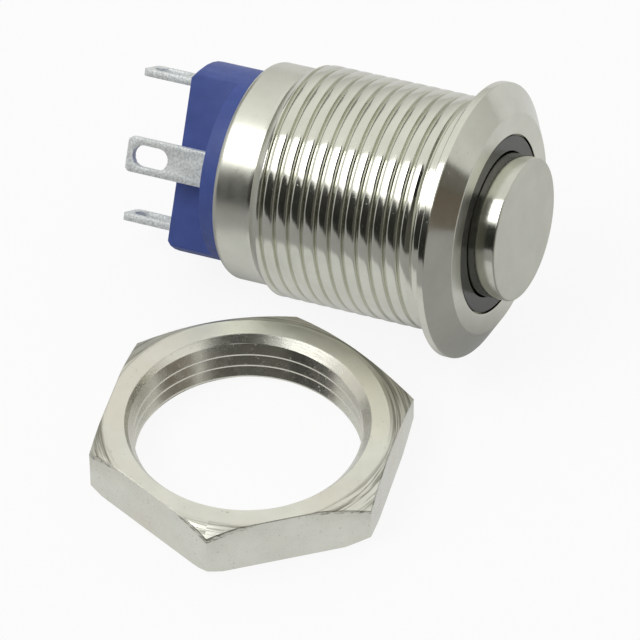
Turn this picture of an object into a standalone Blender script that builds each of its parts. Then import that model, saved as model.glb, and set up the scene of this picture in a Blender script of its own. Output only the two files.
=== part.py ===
"""Momentary metal pushbutton switch with its hexagonal panel nut taken off.

The switch lies as it comes to rest, on its bezel rim and on the rear end of its thread, and the nut lies flat
beside it. The switch is modelled about its own push axis: local +Z points out of the button and
z = 0 is the seat behind the bezel, so heights behind the panel are negative. One tilted empty carries it.
Sizes are written in millimetres times MM, so the model is in metres.
"""

import math

import bmesh
import bpy
from mathutils import Matrix, Vector

MM = 0.001

# Bezel, the part of the housing in front of the panel
BEZEL_DIAMETER = 18.7 * MM
BEZEL_HEIGHT = 1.7 * MM
BEZEL_RIM = 0.5 * MM
BEZEL_FLAT_DIAMETER = 15.0 * MM
OPENING_DIAMETER = 12.2 * MM
RING_POCKET_DEPTH = 1.0 * MM

# Threaded barrel behind the panel
THREAD_DIAMETER = 15.9 * MM
NECK_DIAMETER = 15.5 * MM
NECK_LENGTH = 0.9 * MM
SEAT_RELIEF = 0.1 * MM
THREADED_LENGTH = 11.5 * MM
THREAD_PITCH = 1.0 * MM
THREAD_DEPTH = 0.5 * MM
THREAD_RUN_IN = 0.75 * MM
THREAD_RUNOUT = 0.7 * MM
COLLAR_WALL = 0.8 * MM
BARREL_LENGTH = 16.0 * MM
COLLAR_ROUND = 0.45 * MM

# Guide ring round the button
RING_RECESS = 0.08 * MM

# Button and its plunger
BUTTON_DIAMETER = 9.7 * MM
BUTTON_PROUD = 1.8 * MM
BUTTON_TRAVEL = 1.5 * MM
BUTTON_EDGE = 0.12 * MM
CAP_HEIGHT = 5.0 * MM
CAP_WALL = 0.8 * MM
CAP_FACE = 1.0 * MM
LAND_LENGTH = 0.7 * MM
SEAL_GROOVE_LENGTH = 1.1 * MM
SEAL_SECTION = 0.85 * MM
CLIP_THICKNESS = 0.5 * MM
CLIP_WIDTH = 1.25 * MM
CLIP_BITE = 0.6 * MM
CLIP_GAP = 4.0 * MM
FLANGE_LENGTH = 0.7 * MM
STEM_DIAMETER = 5.2 * MM
NOSE_DIAMETER = 2.0 * MM

# Return spring and the stack that it stands on
SPRING_LENGTH = 4.8 * MM
SPRING_DIAMETER = 7.4 * MM
SPRING_WIRE = 0.45 * MM
SPRING_TURNS = 5
SPRING_CHAMBER_DIAMETER = 11.6 * MM
WASHER_THICKNESS = 0.3 * MM
GASKET_THICKNESS = 0.35 * MM
COVER_THICKNESS = 0.85 * MM
GUIDE_TUBE_HEIGHT = 1.0 * MM
GUIDE_TUBE_WALL = 0.7 * MM

# Moulded base
BASE_DIAMETER = 13.1 * MM
BASE_WALL = 0.8 * MM
DECK_THICKNESS = 1.2 * MM
BLOCK_LENGTH = 3.4 * MM
BLOCK_EDGE = 0.25 * MM
BLOCK_FLAT_OFFSET = 2.85 * MM
BASE_TURN = math.radians(146.2)

# Terminals: flat lugs with an oval eyelet, their lengths taken from the block's rear face
LUG_WIDTH = 2.4 * MM
LUG_THICKNESS = 0.5 * MM
LUG_CORNER = 0.35 * MM
COMMON_LUG_OFFSET = 4.5 * MM
COMMON_LUG_LENGTH = 3.05 * MM
SIDE_LUG_OFFSET = 5.0 * MM
SIDE_LUG_LENGTH = 4.4 * MM
EYELET_LENGTH = 2.65 * MM
EYELET_WIDTH = 1.5 * MM
EYELET_EDGE = 0.42 * MM
ARM_THICKNESS = 0.4 * MM
ARM_WIDTH = 1.6 * MM
EAR_THICKNESS = 0.35 * MM

# Contacts: a blade on a pin, between two fixed rivets
BLADE_WIDTH = 1.3 * MM
BLADE_THICKNESS = 0.25 * MM
BLADE_SWING = 0.255
PIVOT_OFFSET = 3.7 * MM
PIN_DIAMETER = 0.4 * MM
EYE_WALL = 0.2 * MM
CONTACT_OFFSET = 3.0 * MM
CONTACT_DIAMETER = 1.6 * MM
CONTACT_HEAD = 0.45 * MM
CONTACT_SHANK = 0.8 * MM
BLADE_SPRING_DIAMETER = 1.4 * MM
BLADE_SPRING_WIRE = 0.22 * MM
BLADE_SPRING_LENGTH = 2.1 * MM
BLADE_SPRING_TURNS = 4
BLADE_SPRING_OFFSET = 1.5 * MM

# Panel nut, 19 mm across its flats: its rim is what stands outside the barrel's thread
NUT_RIM = 1.55 * MM
NUT_THICKNESS = 3.8 * MM
NUT_THREAD_DEPTH = 0.45 * MM
NUT_TOP_COUNTERSINK = 0.6 * MM
NUT_BOTTOM_COUNTERSINK = 0.25 * MM
NUT_FACE_MARGIN = 0.17 * MM
NUT_FOOT_MARGIN = 0.6 * MM
NUT_CORNER_SLOPE = 0.58
NUT_FLATS_SHIFT = 0.45 * MM
NUT_FLATS_SHIFT_TURN = math.radians(-21.6)

# How the nut lies: its thread's axis as seen from the switch's seat, and its turn
NUT_SIDE = -18.4 * MM
NUT_BACK = 8.0 * MM
NUT_TURN = math.radians(10.1)

# Clearances: FIT between pieces that sit on or slide in each other
FIT = 0.1 * MM
SEGMENTS = 48
INNER_SEGMENTS = 36
MERGE = 0.000001

# One turn of the thread, as (share of the pitch, share of the depth above the root)
THREAD_TURN = ((0.0, 1.0), (0.23, 1.0), (0.615, 0.0))

# Radii that several pieces share
bezel_radius = BEZEL_DIAMETER / 2
guide_radius = BUTTON_DIAMETER / 2 + FIT
land_radius = guide_radius - FIT * 2
spigot_radius = BUTTON_DIAMETER / 2 - CAP_WALL - FIT
base_radius = BASE_DIAMETER / 2
plug_bore_radius = base_radius + FIT
chamber_radius = base_radius - BASE_WALL
collar_radius = plug_bore_radius + COLLAR_WALL
thread_root = THREAD_DIAMETER / 2 - THREAD_DEPTH
nut_half_flats = THREAD_DIAMETER / 2 + NUT_RIM
nut_bore_radius = THREAD_DIAMETER / 2 - NUT_THREAD_DEPTH
seal_radius = guide_radius - FIT - SEAL_SECTION / 2
seal_groove_radius = seal_radius - SEAL_SECTION / 2 - FIT
clip_inner_radius = land_radius - CLIP_BITE
clip_outer_radius = clip_inner_radius + CLIP_WIDTH
nose_radius = NOSE_DIAMETER / 2
tube_bore_radius = nose_radius + FIT

# Heights along the push axis, from the button's face to the terminals' tips
bezel_face = BEZEL_HEIGHT
ring_floor = bezel_face - RING_POCKET_DEPTH
button_face = bezel_face + BUTTON_PROUD
cap_rear = button_face - CAP_HEIGHT
seal_groove_front = cap_rear - FIT - LAND_LENGTH
seal_groove_rear = seal_groove_front - SEAL_GROOVE_LENGTH
guide_rear = seal_groove_rear - LAND_LENGTH
clip_front = guide_rear - FIT
clip_rear = clip_front - CLIP_THICKNESS
flange_front = clip_rear - FIT
flange_rear = flange_front - FLANGE_LENGTH
spring_front = flange_rear - FIT
spring_rear = spring_front - SPRING_LENGTH
washer_front = spring_rear - FIT
cover_front = washer_front - WASHER_THICKNESS - FIT
gasket_front = cover_front + FIT + GASKET_THICKNESS
chamber_shoulder = gasket_front + FIT
tube_front = cover_front + GUIDE_TUBE_HEIGHT
stem_rear = tube_front + BUTTON_TRAVEL + 4 * FIT
cover_rear = cover_front - COVER_THICKNESS
base_front = cover_rear - FIT
nc_arm_front = cover_rear - 2 * FIT
nc_head_front = nc_arm_front - ARM_THICKNESS - FIT
moving_front = nc_head_front - CONTACT_HEAD - FIT
blade_front = moving_front - CONTACT_HEAD - FIT
pivot_height = blade_front - BLADE_THICKNESS / 2
blade_rear = blade_front - BLADE_THICKNESS
moving_rear = blade_rear - FIT - CONTACT_HEAD
chamber_floor = blade_rear - FIT - BLADE_SPRING_LENGTH - FIT
deck_rear = chamber_floor - DECK_THICKNESS
block_rear = deck_rear - BLOCK_LENGTH
common_lug_tip = block_rear - COMMON_LUG_LENGTH
side_lug_tip = block_rear - SIDE_LUG_LENGTH

# Where the blade's rivet ends its swing, and how far the nose starts above the blade to end just clear of it
rivet_reach = PIVOT_OFFSET + CONTACT_OFFSET + CONTACT_DIAMETER / 2
rivet_drop = pivot_height - moving_rear
no_head_front = pivot_height - rivet_reach * math.sin(BLADE_SWING) - rivet_drop * math.cos(BLADE_SWING) - FIT
no_arm_front = no_head_front - CONTACT_HEAD - FIT
pocket_floor = no_arm_front - ARM_THICKNESS - FIT
half_blade = BLADE_THICKNESS / 2
pressed_centre = (nose_radius + FIT + half_blade - PIVOT_OFFSET * math.sin(BLADE_SWING)) / math.cos(BLADE_SWING)
nose_rear = pivot_height + pressed_centre + BUTTON_TRAVEL - nose_radius

# The lying pose: the bezel rim's rear edge touches the table, and so does the first edge behind it to reach down
rest_edges = (
    (THREAD_DIAMETER / 2, NECK_LENGTH + THREADED_LENGTH),
    (collar_radius, BARREL_LENGTH - COLLAR_ROUND),
    (base_radius, -block_rear - BLOCK_EDGE),
)
rest_tilt = min(math.atan((bezel_radius - radius) / depth) for radius, depth in rest_edges)
seat_height = bezel_radius * math.cos(rest_tilt)


def clear_scene():
    for obj in list(bpy.data.objects):
        bpy.data.objects.remove(obj, do_unlink=True)


def new_collection(name):
    collection = bpy.data.collections.new(name)
    bpy.context.scene.collection.children.link(collection)
    return collection


def make_material(name, color, metallic, roughness):
    material = bpy.data.materials.new(name)
    material.use_nodes = True
    shader = material.node_tree.nodes["Principled BSDF"]
    shader.inputs["Base Color"].default_value = (*color, 1.0)
    shader.inputs["Metallic"].default_value = metallic
    shader.inputs["Roughness"].default_value = roughness
    material.diffuse_color = (*color, 1.0)
    return material


clear_scene()
parts = new_collection("pushbutton_switch")
cutters = new_collection("cutters")

NICKEL = make_material("nickel_plate", (0.62, 0.61, 0.55), 1.0, 0.25)
BUTTON_STEEL = make_material("button_steel", (0.60, 0.60, 0.54), 1.0, 0.35)
RING_GREY = make_material("ring_grey", (0.12, 0.12, 0.11), 0.0, 0.5)
BLUE = make_material("base_blue", (0.06, 0.10, 0.32), 0.0, 0.55)
TIN = make_material("tinned_lug", (0.60, 0.63, 0.63), 1.0, 0.35)
BLACK_PLASTIC = make_material("plunger_black", (0.03, 0.03, 0.03), 0.0, 0.5)
RUBBER = make_material("seal_rubber", (0.02, 0.02, 0.02), 0.0, 0.8)
SPRING_STEEL = make_material("spring_steel", (0.55, 0.55, 0.55), 1.0, 0.3)
COPPER = make_material("blade_copper", (0.72, 0.40, 0.25), 1.0, 0.3)
SILVER = make_material("contact_silver", (0.80, 0.80, 0.78), 1.0, 0.25)


def empty(name, parent=None, location=(0.0, 0.0, 0.0), rotation=(0.0, 0.0, 0.0)):
    obj = bpy.data.objects.new(name, None)
    obj.location = location
    obj.rotation_euler = rotation
    obj.parent = parent
    obj.empty_display_size = 0.004
    parts.objects.link(obj)
    return obj


def place(obj, parent, location=(0.0, 0.0, 0.0), rotation=(0.0, 0.0, 0.0)):
    obj.location = location
    obj.rotation_euler = rotation
    obj.parent = parent
    return obj


def add_object(name, data, material, collection=None):
    obj = bpy.data.objects.new(name, data)
    if material is not None:
        data.materials.append(material)
    (collection or parts).objects.link(obj)
    return obj


def turned(name, profile, material, parent, ring=True, segments=SEGMENTS, collection=None):
    """A turned piece: (radius, height) pairs that run down the outer side, swept about local Z.

    A ring's profile closes on itself. A solid's profile starts and ends on the axis.
    """
    mesh = bpy.data.meshes.new(name)
    bm = bmesh.new()
    points = [bm.verts.new((radius, 0.0, height)) for radius, height in profile]
    for start, end in zip(points, points[1:]):
        bm.edges.new((start, end))
    if ring:
        bm.edges.new((points[-1], points[0]))
    bm.to_mesh(mesh)
    bm.free()
    obj = add_object(name, mesh, material, collection)
    screw = obj.modifiers.new("Turn", "SCREW")
    screw.axis = "Z"
    screw.angle = math.tau
    screw.steps = segments
    screw.render_steps = segments
    screw.use_merge_vertices = True
    screw.merge_threshold = MERGE
    screw.use_smooth_shade = False
    return place(obj, parent)


def threaded(name, front_profile, rear_profile, material, parent):
    """A turned ring with a right-handed thread between the end of one profile and the start of the other.

    The skin is lofted from columns of (radius, height) round the axis. The thread's points climb by one pitch
    from the first column to the last, stop at the two profiles, and double points there are merged.
    """
    front = front_profile[-1][1]
    rear = rear_profile[0][1]
    turns = math.ceil((front - rear) / THREAD_PITCH) + 1
    mesh = bpy.data.meshes.new(name)
    bm = bmesh.new()
    columns = []
    for step in range(SEGMENTS + 1):
        thread = []
        for turn in range(turns):
            for share, depth in THREAD_TURN:
                height = front - THREAD_PITCH * (turn + share - step / SEGMENTS)
                height = min(max(height, rear), front)
                thread.append((thread_radius(height, depth, front, rear), height))
        angle = math.tau * step / SEGMENTS
        column = []
        for radius, height in front_profile + thread + rear_profile:
            column.append(bm.verts.new((radius * math.cos(angle), radius * math.sin(angle), height)))
        columns.append(column)
    for left, right in zip(columns, columns[1:]):
        for index in range(len(left)):
            before = index - 1
            bm.faces.new((left[before], left[index], right[index], right[before]))
    bmesh.ops.remove_doubles(bm, verts=bm.verts, dist=MERGE)
    bmesh.ops.triangulate(bm, faces=[face for face in bm.faces if is_thread(face, front, rear)])
    bmesh.ops.recalc_face_normals(bm, faces=bm.faces)
    bm.to_mesh(mesh)
    bm.free()
    return place(add_object(name, mesh, material), parent)


def thread_radius(height, depth, front, rear):
    """The thread's radius: it grows out of the neck at its front and tapers to its root at its rear."""
    full = thread_root + THREAD_DEPTH * depth
    run_in = min(1.0, (front - height) / THREAD_RUN_IN)
    radius = NECK_DIAMETER / 2 + (full - NECK_DIAMETER / 2) * run_in
    taper = thread_root + THREAD_DEPTH * (height - rear) / THREAD_RUNOUT
    return min(radius, taper)


def is_thread(face, front, rear):
    """Whether a face of the skin lies on the thread, where four corners needn't be in one plane."""
    outside = all(math.hypot(corner.co.x, corner.co.y) > thread_root - MERGE for corner in face.verts)
    return outside and all(rear - MERGE < corner.co.z < front + MERGE for corner in face.verts)


def arc(centre_radius, centre_height, radius, start, end, count):
    """Points of an arc in a turned profile, from one angle in degrees to another."""
    points = []
    for index in range(count + 1):
        angle = math.radians(start + (end - start) * index / count)
        points.append((centre_radius + radius * math.cos(angle), centre_height + radius * math.sin(angle)))
    return points


def box(name, size, parent, centre, collection=None, material=None):
    mesh = bpy.data.meshes.new(name)
    bm = bmesh.new()
    bmesh.ops.create_cube(bm, size=1.0, matrix=Matrix.Diagonal((*size, 1.0)))
    bm.to_mesh(mesh)
    bm.free()
    obj = add_object(name, mesh, material, collection or cutters)
    return place(obj, parent, centre)


def rod(name, radius, length, parent, centre, rotation=(0.0, 0.0, 0.0), segments=24, material=None,
        collection=None):
    mesh = bpy.data.meshes.new(name)
    bm = bmesh.new()
    bmesh.ops.create_cone(bm, cap_ends=True, segments=segments, radius1=radius, radius2=radius, depth=length)
    bm.to_mesh(mesh)
    bm.free()
    obj = add_object(name, mesh, material, collection or cutters)
    return place(obj, parent, centre, rotation)


def cutter(obj):
    obj.hide_render = True
    obj.display_type = "WIRE"
    return obj


def combine(obj, other, operation):
    cutter(other)
    modifier = obj.modifiers.new(operation.title() + " " + other.name, "BOOLEAN")
    modifier.operation = operation
    modifier.object = other
    modifier.solver = "EXACT"
    return obj


def plate(name, outlines, thickness, material, collection=None):
    """A flat plate: closed outlines in local XY, holes included, with its thickness along local Z."""
    curve = bpy.data.curves.new(name, "CURVE")
    curve.dimensions = "2D"
    curve.fill_mode = "BOTH"
    curve.extrude = thickness / 2
    for outline in outlines:
        spline = curve.splines.new("POLY")
        spline.points.add(len(outline) - 1)
        for point, (x, y) in zip(spline.points, outline):
            point.co = (x, y, 0.0, 1.0)
        spline.use_cyclic_u = True
    outline_object = bpy.data.objects.new(name + "_outline", curve)
    cutters.objects.link(outline_object)
    graph = bpy.context.evaluated_depsgraph_get()
    mesh = bpy.data.meshes.new_from_object(outline_object.evaluated_get(graph))
    mesh.name = name
    bpy.data.objects.remove(outline_object, do_unlink=True)
    bm = bmesh.new()
    bm.from_mesh(mesh)
    bmesh.ops.remove_doubles(bm, verts=bm.verts, dist=MERGE)
    bmesh.ops.recalc_face_normals(bm, faces=bm.faces)
    bm.to_mesh(mesh)
    bm.free()
    mesh.materials.clear()
    return add_object(name, mesh, material, collection)


def coil(name, radius, wire, front, rear, turns, material, parent, centre=(0.0, 0.0), per_turn=14):
    """A compression spring whose two end turns lie almost closed, between two seats."""
    end_pitch = wire * 1.08
    start_height = front - wire / 2
    run = start_height - (rear + wire / 2)
    active_pitch = (run - 2 * end_pitch) / (turns - 2)
    curve = bpy.data.curves.new(name, "CURVE")
    curve.dimensions = "3D"
    curve.bevel_depth = wire / 2
    curve.bevel_resolution = 1
    curve.use_fill_caps = True
    spline = curve.splines.new("POLY")
    count = turns * per_turn
    spline.points.add(count)
    for index in range(count + 1):
        turn = index / per_turn
        drop = min(turn, 1.0) * end_pitch
        drop += max(0.0, min(turn - 1.0, turns - 2.0)) * active_pitch
        drop += max(0.0, turn - turns + 1.0) * end_pitch
        angle = math.tau * turn
        spline.points[index].co = (
            centre[0] + radius * math.cos(angle),
            centre[1] + radius * math.sin(angle),
            start_height - drop,
            1.0,
        )
    obj = add_object(name, curve, material)
    return place(obj, parent)


def shade(obj):
    if obj.type == "MESH":
        obj.data.shade_smooth()
        obj.data.set_sharp_from_angle(angle=math.radians(35))


# Housing and what is set in it


def make_housing(axis):
    opening = OPENING_DIAMETER / 2
    thread = THREAD_DIAMETER / 2
    thread_rear = -NECK_LENGTH - THREADED_LENGTH
    front = [
        (guide_radius, ring_floor),
        (opening, ring_floor),
        (opening, bezel_face),
        (BEZEL_FLAT_DIAMETER / 2, bezel_face),
        (bezel_radius, BEZEL_RIM),
        (bezel_radius, 0.0),
        (thread + FIT, 0.0),
        (thread + FIT, SEAT_RELIEF),
        (NECK_DIAMETER / 2, SEAT_RELIEF),
        (NECK_DIAMETER / 2, -NECK_LENGTH),
    ]
    rear = [(thread_root, thread_rear - THREAD_RUNOUT), (collar_radius, thread_rear - THREAD_RUNOUT)]
    rear += arc(collar_radius - COLLAR_ROUND, COLLAR_ROUND - BARREL_LENGTH, COLLAR_ROUND, 0, -90, 4)
    rear += [
        (plug_bore_radius, -BARREL_LENGTH),
        (plug_bore_radius, chamber_shoulder),
        (SPRING_CHAMBER_DIAMETER / 2, chamber_shoulder),
        (SPRING_CHAMBER_DIAMETER / 2, guide_rear),
        (guide_radius, guide_rear),
    ]
    return threaded("housing_barrel", front, rear, NICKEL, axis)


def make_guide_ring(axis):
    outer = OPENING_DIAMETER / 2 - FIT
    top = bezel_face - RING_RECESS
    bottom = ring_floor + FIT
    profile = [(guide_radius, top), (outer, top), (outer, bottom), (guide_radius, bottom)]
    return turned("guide_ring", profile, RING_GREY, axis)


# What moves with the button


def make_button_cap(button):
    outer = BUTTON_DIAMETER / 2
    inner = outer - CAP_WALL
    ceiling = button_face - CAP_FACE
    profile = [
        (0.0, button_face),
        (outer - BUTTON_EDGE, button_face),
        (outer, button_face - BUTTON_EDGE),
        (outer, cap_rear),
        (inner, cap_rear),
        (inner, ceiling),
        (0.0, ceiling),
    ]
    return turned("button_cap", profile, BUTTON_STEEL, button, ring=False)


def make_plunger(button):
    spigot_top = button_face - CAP_FACE - FIT
    stem = STEM_DIAMETER / 2
    profile = [
        (0.0, spigot_top),
        (spigot_radius, spigot_top),
        (spigot_radius, cap_rear - FIT),
        (land_radius, cap_rear - FIT),
        (land_radius, seal_groove_front),
        (seal_groove_radius, seal_groove_front),
        (seal_groove_radius, seal_groove_rear),
        (land_radius, seal_groove_rear),
        (land_radius, guide_rear),
        (clip_inner_radius - FIT, guide_rear),
        (clip_inner_radius - FIT, flange_front),
        (land_radius, flange_front),
        (land_radius, flange_rear),
        (stem, flange_rear),
        (stem, stem_rear),
        (nose_radius, stem_rear),
    ]
    profile += arc(0.0, nose_rear + nose_radius, nose_radius, 0, -90, 5)[:-1]
    profile.append((0.0, nose_rear))
    return turned("plunger", profile, BLACK_PLASTIC, button, ring=False, segments=INNER_SEGMENTS)


def make_front_o_ring(button):
    middle = (seal_groove_front + seal_groove_rear) / 2
    profile = arc(seal_radius, 0.0, SEAL_SECTION / 2, 90, -270, 8)[:-1]
    ring = turned("front_o_ring", profile, RUBBER, button)
    return place(ring, button, (0.0, 0.0, middle))


def make_retaining_clip(button):
    profile = [
        (clip_inner_radius, clip_front),
        (clip_outer_radius, clip_front),
        (clip_outer_radius, clip_rear),
        (clip_inner_radius, clip_rear),
    ]
    clip = turned("retaining_clip", profile, SPRING_STEEL, button)
    slot_size = (2 * clip_outer_radius, CLIP_GAP, 4 * CLIP_THICKNESS)
    slot = box("clip_slot", slot_size, button, (clip_outer_radius, 0.0, (clip_front + clip_rear) / 2))
    return combine(clip, slot, "DIFFERENCE")


# The stack between the plunger and the contact chamber


def make_return_spring(axis):
    return coil("return_spring", SPRING_DIAMETER / 2, SPRING_WIRE, spring_front, spring_rear, SPRING_TURNS,
                SPRING_STEEL, axis)


def make_spring_seat_washer(axis):
    inner = tube_bore_radius + GUIDE_TUBE_WALL + FIT
    outer = SPRING_CHAMBER_DIAMETER / 2 - 2 * FIT
    rear = washer_front - WASHER_THICKNESS
    profile = [(inner, washer_front), (outer, washer_front), (outer, rear), (inner, rear)]
    return turned("spring_seat_washer", profile, SPRING_STEEL, axis, segments=INNER_SEGMENTS)


def make_chamber_gasket(axis):
    inner = SPRING_CHAMBER_DIAMETER / 2
    outer = plug_bore_radius - FIT
    rear = gasket_front - GASKET_THICKNESS
    profile = [(inner, gasket_front), (outer, gasket_front), (outer, rear), (inner, rear)]
    return turned("chamber_gasket", profile, RUBBER, axis, segments=INNER_SEGMENTS)


def make_chamber_cover(axis):
    tube_outer = tube_bore_radius + GUIDE_TUBE_WALL
    profile = [
        (tube_bore_radius, tube_front),
        (tube_outer, tube_front),
        (tube_outer, cover_front),
        (base_radius, cover_front),
        (base_radius, cover_rear),
        (tube_bore_radius, cover_rear),
    ]
    return turned("chamber_cover", profile, BLACK_PLASTIC, axis)


# Moulded base


def make_base_block(axis, frame):
    profile = [
        (chamber_radius, base_front),
        (base_radius, base_front),
        (base_radius, block_rear + BLOCK_EDGE),
        (base_radius - BLOCK_EDGE, block_rear),
        (0.0, block_rear),
        (0.0, chamber_floor),
        (chamber_radius, chamber_floor),
    ]
    cup = [profile[-2], profile[-1]] + profile[:-2]
    base = turned("base_block", cup, BLUE, axis, ring=False)

    flat_size = (BASE_DIAMETER, 2 * BASE_DIAMETER, 2 * BLOCK_LENGTH)
    flat_centre = (BLOCK_FLAT_OFFSET + BASE_DIAMETER / 2, 0.0, block_rear)
    combine(base, box("flat_cut", flat_size, frame, flat_centre), "DIFFERENCE")

    pocket_front = chamber_floor + FIT
    pocket_rear = pocket_floor
    pocket_x_min = -CONTACT_OFFSET - ARM_WIDTH / 2 - 3 * FIT
    pocket_x_max = LUG_WIDTH / 2 + FIT / 2
    pocket_y_min = -SIDE_LUG_OFFSET - FIT
    pocket_y_max = ARM_WIDTH / 2 + 3 * FIT
    pocket_size = (pocket_x_max - pocket_x_min, pocket_y_max - pocket_y_min, pocket_front - pocket_rear)
    pocket_centre = (
        (pocket_x_min + pocket_x_max) / 2,
        (pocket_y_min + pocket_y_max) / 2,
        (pocket_front + pocket_rear) / 2,
    )
    pocket = box("contact_pocket", pocket_size, frame, pocket_centre)
    pocket_bounds = rod("pocket_bounds", chamber_radius, -4 * deck_rear, frame, (0.0, 0.0, 0.0), segments=SEGMENTS)
    combine(pocket, pocket_bounds, "INTERSECT")
    combine(base, pocket, "DIFFERENCE")

    slot_width = LUG_WIDTH + 2 * FIT
    slot_thickness = LUG_THICKNESS + 2 * FIT
    slot_run = BLOCK_LENGTH + 2 * DECK_THICKNESS
    side_centre_height = chamber_floor + FIT - slot_run
    for label, offset in (("no", -SIDE_LUG_OFFSET), ("nc", SIDE_LUG_OFFSET)):
        slot = box("slot_" + label, (slot_width, slot_thickness, 2 * slot_run), frame,
                   (0.0, offset, side_centre_height))
        combine(base, slot, "DIFFERENCE")
    common_centre = (COMMON_LUG_OFFSET, 0.0, chamber_floor + FIT - slot_run)
    common_slot = box("slot_common", (slot_thickness, slot_width, 2 * slot_run), frame, common_centre)
    return combine(base, common_slot, "DIFFERENCE")


# Terminals


def lug_outline(front, tip):
    """A lug in its own plane, x across and y along the push axis, with a round-cornered tip."""
    half = LUG_WIDTH / 2
    points = [(half, front), (-half, front)]
    for centre_x, start in ((-half + LUG_CORNER, 180), (half - LUG_CORNER, 270)):
        for index in range(5):
            angle = math.radians(start + 90 * index / 4)
            points.append((centre_x + LUG_CORNER * math.cos(angle), tip + LUG_CORNER + LUG_CORNER * math.sin(angle)))
    return points


def eyelet_outline(tip):
    """The oval hole near a lug's tip."""
    end_radius = EYELET_WIDTH / 2
    rear_centre = tip + EYELET_EDGE + end_radius
    front_centre = rear_centre + EYELET_LENGTH - EYELET_WIDTH
    points = []
    for centre_y, start in ((front_centre, 0), (rear_centre, 180)):
        for index in range(9):
            angle = math.radians(start + 180 * index / 8)
            points.append((end_radius * math.cos(angle), centre_y + end_radius * math.sin(angle)))
    return points


def lug(name, front, tip, parent, location, rotation):
    obj = plate(name, [lug_outline(front, tip), eyelet_outline(tip)], LUG_THICKNESS, TIN)
    return place(obj, parent, location, rotation)


def arm(name, side, height, frame):
    """The flat inner arm of a side terminal, from its lug to the contact's place, with the rivet's hole.

    side is -1 for the terminal at local -Y and 1 for the one at +Y.
    """
    half = ARM_WIDTH / 2
    root_half = LUG_WIDTH / 2 - FIT
    root = SIDE_LUG_OFFSET
    inner = SIDE_LUG_OFFSET - LUG_THICKNESS / 2 - ARM_WIDTH
    outline = [
        (root_half, side * root),
        (root_half, side * (inner + half)),
        (-CONTACT_OFFSET + half, side * (inner - half)),
        (-CONTACT_OFFSET + half, -side * half),
        (-CONTACT_OFFSET - half, -side * half),
        (-CONTACT_OFFSET - half, side * inner),
        (-root_half, side * (inner + half)),
        (-root_half, side * root),
    ]
    hole = circle_outline(CONTACT_SHANK / 2 + FIT, (-CONTACT_OFFSET, 0.0))
    obj = plate(name, [outline, hole], ARM_THICKNESS, None, cutters)
    return place(obj, frame, (0.0, 0.0, height))


def circle_outline(radius, centre, count=16):
    points = []
    for index in range(count):
        angle = math.tau * index / count
        points.append((centre[0] + radius * math.cos(angle), centre[1] + radius * math.sin(angle)))
    return points


def make_side_terminal(name, side, arm_front, strip_front, frame):
    upright = (math.pi / 2, 0.0, 0.0)
    terminal = lug(name, strip_front, side_lug_tip, frame, (0.0, side * SIDE_LUG_OFFSET, 0.0), upright)
    return combine(terminal, arm(name + "_arm", side, arm_front - ARM_THICKNESS / 2, frame), "UNION")


def make_common_terminal(frame):
    upright = (math.pi / 2, 0.0, math.pi / 2)
    ear_rear = pivot_height - PIN_DIAMETER - 4 * EYE_WALL
    ear_front = pivot_height + PIN_DIAMETER + 2 * EYE_WALL
    strip_front = (ear_front + pivot_height) / 2
    terminal = lug("terminal_common", strip_front, common_lug_tip, frame, (COMMON_LUG_OFFSET, 0.0, 0.0), upright)
    inner_end = PIVOT_OFFSET - PIN_DIAMETER - 2 * EYE_WALL
    middle = (inner_end + COMMON_LUG_OFFSET) / 2
    length = COMMON_LUG_OFFSET - inner_end
    for side in (-1, 1):
        ear_centre = (middle, side * (BLADE_WIDTH / 2 + FIT + EAR_THICKNESS / 2), (ear_front + ear_rear) / 2)
        ear = box("ear_%d" % side, (length, EAR_THICKNESS, ear_front - ear_rear), frame, ear_centre)
        combine(terminal, ear, "UNION")
    bore = rod("pin_bore", PIN_DIAMETER / 2 + FIT / 2, 2 * LUG_WIDTH, frame, (PIVOT_OFFSET, 0.0, pivot_height),
               (math.pi / 2, 0.0, 0.0), segments=16)
    return combine(terminal, bore, "DIFFERENCE")


# Contacts


def make_contact_blade(pivot):
    """The blade in its own frame: the pin runs along local Y and the tip points to local -X."""
    half = BLADE_WIDTH / 2
    eye_outer = PIN_DIAMETER / 2 + FIT / 2 + EYE_WALL
    root = -(eye_outer - EYE_WALL / 2)
    tip_centre = -PIVOT_OFFSET - CONTACT_OFFSET
    outline = [(root, -half), (root, half)]
    for index in range(9):
        angle = math.radians(90 + 180 * index / 8)
        outline.append((tip_centre + half * math.cos(angle), half * math.sin(angle)))
    hole = circle_outline(CONTACT_SHANK / 2 + FIT / 2, (tip_centre, 0.0))
    blade = place(plate("contact_blade", [outline, hole], BLADE_THICKNESS, COPPER), pivot)
    turn = (math.pi / 2, 0.0, 0.0)
    eye = rod("blade_eye", eye_outer, BLADE_WIDTH - FIT, pivot, (0.0, 0.0, 0.0), turn, segments=16)
    bore = rod("eye_bore", PIN_DIAMETER / 2 + FIT / 2, 2 * BLADE_WIDTH, pivot, (0.0, 0.0, 0.0), turn, segments=16)
    combine(blade, eye, "UNION")
    return combine(blade, bore, "DIFFERENCE")


def make_blade_pin(frame):
    length = BLADE_WIDTH + 2 * FIT + 2 * EAR_THICKNESS
    return rod("blade_pin", PIN_DIAMETER / 2, length, frame, (PIVOT_OFFSET, 0.0, pivot_height),
               (math.pi / 2, 0.0, 0.0), segments=16, material=SPRING_STEEL, collection=parts)


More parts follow.
